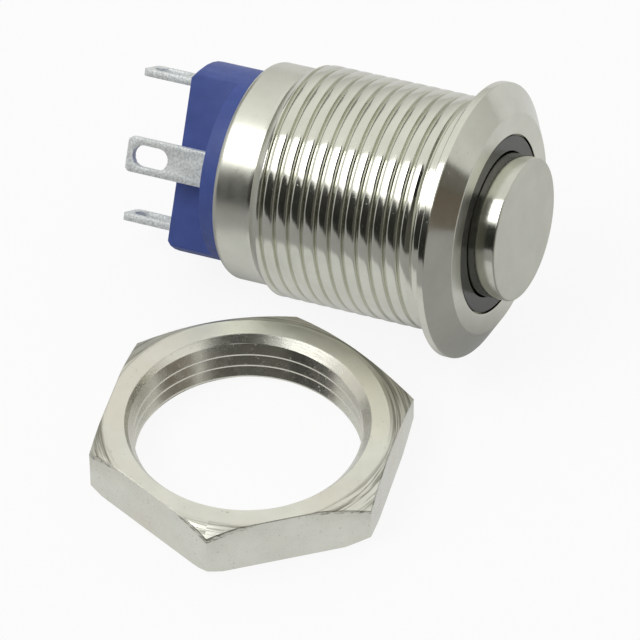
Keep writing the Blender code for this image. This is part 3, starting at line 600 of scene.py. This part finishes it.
def make_housing():
    """Bezel, neck, helical thread, collar and bores as one skin."""
    angles = [math.tau * step / HOUSING_SEGMENTS for step in range(HOUSING_SEGMENTS + 1)]

    def radius_of(z, share):
        radius = COLLAR + (CREST - COLLAR) * share
        run_in = smoothstep((NECK_REAR - z) / RUN_IN)
        radius = NECK + (radius - NECK) * run_in
        lead = COLLAR + (z - THREAD_END) * (CREST - COLLAR) / (THREAD_REAR - THREAD_END)
        return min(radius, lead)

    front = [(OPENING, RING_FLOOR), (OPENING, BEZEL_FACE - OPENING_EDGE)]
    front += arc(OPENING + OPENING_EDGE, BEZEL_FACE - OPENING_EDGE, OPENING_EDGE, 180, 90, 3)
    bevel = math.degrees(math.atan2(BEZEL_RADIUS - BEZEL_FLAT, BEZEL_FACE - BEZEL_RIM))
    front += arc(BEZEL_FLAT - 0.04, BEZEL_FACE - FACE_EDGE, FACE_EDGE, 90, 90 - bevel * 0.55, 3)
    front += arc(BEZEL_RADIUS - RIM_EDGE, BEZEL_RIM - 0.04, RIM_EDGE, 55, 0, 3)
    front += arc(BEZEL_RADIUS - SEAT_EDGE, SEAT_EDGE, SEAT_EDGE, 0, -90, 3)
    front += [(CREST + 0.1, 0.0), (CREST + 0.1, SEAT_RELIEF), (NECK, SEAT_RELIEF), (NECK, NECK_REAR + 0.02)]
    rear = [(COLLAR, THREAD_END - 0.02)]
    rear += arc(COLLAR - COLLAR_ROUND, COLLAR_ROUND + BARREL_REAR, COLLAR_ROUND, 0, -90, 8)
    rear += [(PLUG_BORE, BARREL_REAR), (PLUG_BORE, SHOULDER), (SPRING_CHAMBER, SHOULDER)]
    rear += [(SPRING_CHAMBER, GUIDE_REAR), (GUIDE_RADIUS, GUIDE_REAR), (GUIDE_RADIUS, RING_FLOOR)]
    front = held(front)
    rear = held(rear)
    thread = helix_columns(OUTER_TURN, NECK_REAR, THREAD_END, angles, radius_of)
    columns = []
    for angle, middle in zip(angles, thread):
        loop = front + middle + rear
        columns.append([(r, angle, z) for r, z in loop])
    piece = finish_mesh("housing_shell", sweep_columns(columns), AXIS, SHARP_TURNED, "housing", NICKEL)
    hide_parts("housing_barrel")


def make_ring():
    profile = [(GUIDE_RADIUS, RING_BOTTOM), (GUIDE_RADIUS, RING_TOP - RING_EDGE)]
    profile += arc(GUIDE_RADIUS + RING_EDGE, RING_TOP - RING_EDGE, RING_EDGE, 180, 90, 3)
    profile += arc(RING_OUTER - RING_EDGE, RING_TOP - RING_EDGE, RING_EDGE, 90, 0, 3)
    profile += [(RING_OUTER, RING_BOTTOM)]
    skin = turned_loop(held(profile))
    piece = finish_mesh("guide_ring_detail", skin, AXIS, SHARP_TURNED, "housing", RING_GREY)
    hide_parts("guide_ring")


def make_button():
    inner = BUTTON_RADIUS - CAP_WALL
    ceiling = BUTTON_FACE - CAP_FACE
    profile = [(0.0, BUTTON_FACE), (BUTTON_RADIUS * 0.5, BUTTON_FACE)]
    profile += arc(BUTTON_RADIUS - BUTTON_EDGE, BUTTON_FACE - BUTTON_EDGE, BUTTON_EDGE, 90, 0, 5)
    profile += [(BUTTON_RADIUS, CAP_REAR + 0.1), (BUTTON_RADIUS - 0.1, CAP_REAR), (inner, CAP_REAR)]
    profile += [(inner, ceiling), (0.0, ceiling)]
    skin = turned_solid(held(profile))
    piece = finish_mesh("button_cap_detail", skin, AXIS, SHARP_TURNED, "button", SATIN)
    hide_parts("button_cap")


def softened(name, node, width, body, material):
    """A copy of a node's shape with its sharp edges rounded, which stands for the node."""
    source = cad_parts[node]
    bm = bmesh.new()
    bm.from_mesh(source.data)
    bmesh.ops.scale(bm, vec=(1.0 / MM, 1.0 / MM, 1.0 / MM), verts=bm.verts)
    bmesh.ops.remove_doubles(bm, verts=bm.verts, dist=0.001)
    bmesh.ops.dissolve_limit(bm, angle_limit=math.radians(0.7), verts=bm.verts, edges=bm.edges)
    limit = math.radians(BEVEL_FROM)
    edges = [edge for edge in bm.edges if edge.is_manifold and edge.calc_face_angle() > limit]
    bmesh.ops.bevel(bm, geom=edges, offset=width, offset_type="OFFSET", segments=2, profile=0.5,
                    affect="EDGES", clamp_overlap=True, loop_slide=True)
    bmesh.ops.triangulate(bm, faces=[face for face in bm.faces if len(face.verts) > 4])
    piece = finish_mesh(name, bm, Matrix.Scale(MM, 4), SHARP_BEVELLED, body, material)
    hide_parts(node)


# The nut


def flats_reach(angle):
    """How far the nut's flats reach from the thread's axis at an angle."""
    reaches = []
    for side in range(6):
        normal = math.radians(30 + 60 * side)
        lean = math.cos(angle - normal)
        if lean > 0.3:
            offset = FLATS_SHIFT[0] * math.cos(normal) + FLATS_SHIFT[1] * math.sin(normal)
            reaches.append((HALF_FLATS + offset) / lean)
    return min(reaches)


def nut_angles():
    """Even steps round the nut, and each corner's own angle in place of the nearest of them."""
    count = 360 // NUT_STEP
    angles = [math.radians(NUT_STEP * step) for step in range(count)]
    corner_radius = HALF_FLATS / math.cos(math.pi / 6)
    for side in range(6):
        corner = math.radians(60 * side)
        across = FLATS_SHIFT[0] + corner_radius * math.cos(corner)
        along = FLATS_SHIFT[1] + corner_radius * math.sin(corner)
        angle = math.atan2(along, across) % math.tau
        nearest = min(range(count), key=lambda step: abs(angles[step] - angle))
        if math.tau - angle < math.radians(NUT_STEP / 2):
            nearest = 0
            angle -= math.tau
        angles[nearest] = angle
    angles.append(angles[0] + math.tau)
    return angles


def face_reach(angle):
    """The top face's circle, whose centre stands off the thread's axis."""
    centre = FACE_SHIFT[0] * math.cos(angle) + FACE_SHIFT[1] * math.sin(angle)
    aside = FACE_SHIFT[1] * math.cos(angle) - FACE_SHIFT[0] * math.sin(angle)
    return centre + math.sqrt(NUT_FACE ** 2 - aside ** 2)


def make_nut():
    """Hexagon, chamfers, countersinks and internal thread as one skin."""
    angles = nut_angles()

    def radius_of(z, share):
        radius = NUT_CREST + (NUT_ROOT - NUT_CREST) * share
        top = NUT_TOP_SINK - (NUT_HEIGHT - z)
        foot = NUT_FOOT_SINK - z
        return max(radius, top, foot)

    thread = helix_columns(INNER_TURN, NUT_HEIGHT, 0.0, angles, radius_of)
    columns = []
    for angle, middle in zip(angles, thread):
        outer = flats_reach(angle)
        inner = outer - NUT_EDGE
        face = face_reach(angle)
        drop = max(0.0, outer - face) * CORNER_SLOPE
        rise = max(0.0, outer - NUT_FOOT) * CORNER_SLOPE
        brim = NUT_HEIGHT - drop * (inner - face) / (outer - face) if drop else NUT_HEIGHT
        loop = [(min(inner, face), NUT_HEIGHT), (inner, brim)]
        loop += [(outer, NUT_HEIGHT - drop - NUT_EDGE), (outer, rise + NUT_EDGE)]
        loop += [(inner, rise), (min(outer - 2 * NUT_EDGE, NUT_FOOT), 0.0)]
        loop += [(NUT_FOOT_SINK + 0.3, 0.0)]
        loop += list(reversed(middle))
        loop += [(NUT_TOP_SINK + 0.3, NUT_HEIGHT)]
        columns.append([(r, angle, z) for r, z in loop])
    piece = finish_mesh("panel_nut_detail", sweep_columns(columns), NUT, SHARP_NUT, "housing", NUT_NICKEL)
    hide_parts("panel_nut")
    return piece


def make_coil(name, node):
    """A copy of a coil in spring steel, attached to the housing, which stands for the node."""
    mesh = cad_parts[node].data.copy()
    mesh.materials.clear()
    mesh.materials.append(STEEL)
    mesh.shade_smooth()
    mesh.set_sharp_from_angle(angle=math.radians(SHARP_COIL))
    piece = bpy.data.objects.new(name, mesh)
    bpy.context.scene.collection.objects.link(piece)
    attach(piece, "housing")
    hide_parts(node)
    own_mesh(piece)


make_housing()
make_ring()
make_button()
make_coil("return_spring_detail", "return_spring")
make_coil("blade_spring_detail", "blade_spring")
softened("base_detail", "base_block", BASE_BEVEL, "housing", BLUE)
for terminal in ("terminal_common", "terminal_no", "terminal_nc"):
    softened(terminal + "_detail", terminal, LUG_BEVEL, "housing", TIN)
nut = make_nut()
nut.visible_glossy = False  # the photograph's barrel doesn't mirror the nut

CARRIED = {
    "plunger": BLACK,
    "front_o_ring": RUBBER,
    "retaining_clip": STEEL,
    "spring_seat_washer": STEEL,
    "chamber_gasket": RUBBER,
    "chamber_cover": BLACK,
    "contact_blade": COPPER,
    "blade_pin": STEEL,
    "moving_contact": SILVER,
    "nc_contact": SILVER,
    "no_contact": SILVER,
}
for node, material in CARRIED.items():
    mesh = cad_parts[node].data
    mesh.materials.clear()
    mesh.materials.append(material)


# Floor, light and camera


def floor_material():
    """Pale floor: nearly paper white to the camera, with the object's shadow.

    Metal mirrors painted light and shade on it: pale close to the nut and on the +X side, and grey
    elsewhere, as under shaded lamps.
    """
    material = bpy.data.materials.new("floor_paper")
    material.use_nodes = True
    nodes = material.node_tree.nodes
    links = material.node_tree.links
    shader = nodes["Principled BSDF"]
    shader.inputs["Roughness"].default_value = 0.9
    noise = nodes.new("ShaderNodeTexNoise")
    noise.inputs["Scale"].default_value = 400.0
    shade = nodes.new("ShaderNodeMix")
    shade.data_type = "RGBA"
    shade.inputs[6].default_value = (0.82, 0.82, 0.82, 1.0)
    shade.inputs[7].default_value = (0.86, 0.86, 0.86, 1.0)
    links.new(noise.outputs["Fac"], shade.inputs[0])
    links.new(shade.outputs[2], shader.inputs["Base Color"])
    coordinates = nodes.new("ShaderNodeTexCoord")
    from_nut = nodes.new("ShaderNodeVectorMath")
    from_nut.operation = "DISTANCE"
    from_nut.inputs[1].default_value = NUT_CENTRE
    links.new(coordinates.outputs["Object"], from_nut.inputs[0])
    split = nodes.new("ShaderNodeSeparateXYZ")
    links.new(coordinates.outputs["Object"], split.inputs[0])
    # Painted pool of light and shade: pale near the nut and on the +X side, grey elsewhere
    painted_pool = nodes.new("ShaderNodeMath")
    painted_pool.operation = "MAXIMUM"
    ranges = ((from_nut.outputs["Value"], *NUT_PAINTED_POOL), (split.outputs["X"], *SIDE_PAINTED_POOL))
    for index, (value, low, high, to_low, to_high) in enumerate(ranges):
        fade = nodes.new("ShaderNodeMapRange")
        fade.interpolation_type = "SMOOTHSTEP"
        fade.inputs["From Min"].default_value = low
        fade.inputs["From Max"].default_value = high
        fade.inputs["To Min"].default_value = to_low
        fade.inputs["To Max"].default_value = to_high
        links.new(value, fade.inputs["Value"])
        links.new(fade.outputs["Result"], painted_pool.inputs[index])
    # Camera rays see an even white glow; glossy and transmission rays see the painted pool of light and
    # shade in its place
    path = nodes.new("ShaderNodeLightPath")
    strength = nodes.new("ShaderNodeMix")
    links.new(path.outputs["Is Camera Ray"], strength.inputs[0])
    links.new(painted_pool.outputs["Value"], strength.inputs[2])
    strength.inputs[3].default_value = 1.0
    glow = nodes.new("ShaderNodeEmission")
    glow.inputs["Color"].default_value = (1.0, 1.0, 1.0, 1.0)
    links.new(strength.outputs[0], glow.inputs["Strength"])
    shares = []
    for label, amount in GLOW_SHARES:
        share = nodes.new("ShaderNodeMath")
        share.operation = "MULTIPLY"
        share.inputs[1].default_value = amount
        links.new(path.outputs[label], share.inputs[0])
        shares.append(share.outputs["Value"])
    most = shares[0]
    for other in shares[1:]:
        larger = nodes.new("ShaderNodeMath")
        larger.operation = "MAXIMUM"
        links.new(most, larger.inputs[0])
        links.new(other, larger.inputs[1])
        most = larger.outputs["Value"]
    blend = nodes.new("ShaderNodeMixShader")
    links.new(most, blend.inputs[0])
    links.new(shader.outputs["BSDF"], blend.inputs[1])
    links.new(glow.outputs["Emission"], blend.inputs[2])
    links.new(blend.outputs["Shader"], nodes["Material Output"].inputs["Surface"])
    return material


def make_floor():
    mesh = bpy.data.meshes.new("floor")
    bm = bmesh.new()
    bmesh.ops.create_circle(bm, cap_ends=True, segments=96, radius=FLOOR_RADIUS)
    bm.to_mesh(mesh)
    bm.free()
    mesh.materials.append(floor_material())
    floor = bpy.data.objects.new("floor", mesh)
    bpy.context.scene.collection.objects.link(floor)


def make_world():
    """A plain studio, pale overhead and greyer towards the horizon."""
    world = bpy.data.worlds.new("studio")
    bpy.context.scene.world = world
    world.use_nodes = True
    nodes = world.node_tree.nodes
    links = world.node_tree.links
    coordinates = nodes.new("ShaderNodeTexCoord")
    split = nodes.new("ShaderNodeSeparateXYZ")
    links.new(coordinates.outputs["Generated"], split.inputs[0])
    fade = nodes.new("ShaderNodeMapRange")
    fade.inputs["From Min"].default_value = 0.0
    fade.inputs["From Max"].default_value = OVERHEAD_FROM
    fade.inputs["To Min"].default_value = HORIZON_LIGHT
    fade.inputs["To Max"].default_value = OVERHEAD_LIGHT
    links.new(split.outputs["Z"], fade.inputs["Value"])
    background = nodes["Background"]
    background.inputs["Color"].default_value = (1.0, 0.995, 0.965, 1.0)
    links.new(fade.outputs["Result"], background.inputs["Strength"])


def make_card(name, colour, radius, outline):
    """A matt studio card that metal mirrors: a bent wall round the object, from (azimuth, top) pairs.

    The azimuth is in degrees and the top in metres. It stands on the floor, and the camera doesn't see it.
    """
    material = bpy.data.materials.new(name)
    material.use_nodes = True
    shader = material.node_tree.nodes["Principled BSDF"]
    shader.inputs["Base Color"].default_value = (*colour, 1.0)
    shader.inputs["Roughness"].default_value = 0.95
    mesh = bpy.data.meshes.new(name)
    bm = bmesh.new()
    feet = []
    tops = []
    for azimuth, top in outline:
        angle = math.radians(azimuth)
        feet.append(bm.verts.new((radius * math.cos(angle), radius * math.sin(angle), 0.0)))
        tops.append(bm.verts.new((radius * math.cos(angle), radius * math.sin(angle), top)))
    for index in range(len(feet) - 1):
        bm.faces.new((feet[index], feet[index + 1], tops[index + 1], tops[index]))
    bm.to_mesh(mesh)
    bm.free()
    mesh.materials.append(material)
    card = bpy.data.objects.new(name, mesh)
    bpy.context.scene.collection.objects.link(card)
    card.visible_camera = False


def make_flag(name, low, high, height):
    """A black flag overhead, between two corners; the camera doesn't see it.

    It keeps the lamp's light off edges that face the camera.
    """
    mesh = bpy.data.meshes.new(name)
    bm = bmesh.new()
    corners = ((low[0], low[1]), (high[0], low[1]), (high[0], high[1]), (low[0], high[1]))
    bm.faces.new([bm.verts.new((x, y, height)) for x, y in corners])
    bm.to_mesh(mesh)
    bm.free()
    mesh.materials.append(bpy.data.materials["dark_card"])
    flag = bpy.data.objects.new(name, mesh)
    bpy.context.scene.collection.objects.link(flag)
    flag.visible_camera = False


def area_lamp(name, place, size, power, target):
    data = bpy.data.lights.new(name, "AREA")
    data.shape = "RECTANGLE"
    data.size = size[0]
    data.size_y = size[1]
    data.energy = power
    lamp = bpy.data.objects.new(name, data)
    bpy.context.scene.collection.objects.link(lamp)
    lamp.location = place
    direction = Vector(target) - Vector(place)
    lamp.rotation_euler = direction.to_track_quat("-Z", "Y").to_euler()
    lamp.visible_camera = False


def make_camera():
    data = bpy.data.cameras.new("camera")
    data.lens = CAMERA_LENS
    data.sensor_width = CAMERA_SENSOR
    data.clip_start = 0.01
    data.clip_end = 20.0
    camera = bpy.data.objects.new("camera", data)
    bpy.context.scene.collection.objects.link(camera)
    right = Vector(CAMERA_RIGHT).normalized()
    ahead = Vector(CAMERA_AHEAD).normalized()
    up = right.cross(ahead).normalized()
    turn = Matrix((right, up, -ahead)).transposed().to_4x4()
    camera.matrix_world = Matrix.Translation(CAMERA_PLACE) @ turn
    bpy.context.scene.camera = camera


make_floor()
make_world()
for card in CARDS:
    make_card(*card)
make_flag("flag", FLAG_LOW, FLAG_HIGH, FLAG_TOP)
area_lamp("key", KEY_PLACE, KEY_SIZE, KEY_POWER, KEY_TARGET)
make_camera()
bpy.context.scene.view_settings.view_transform = "Standard"
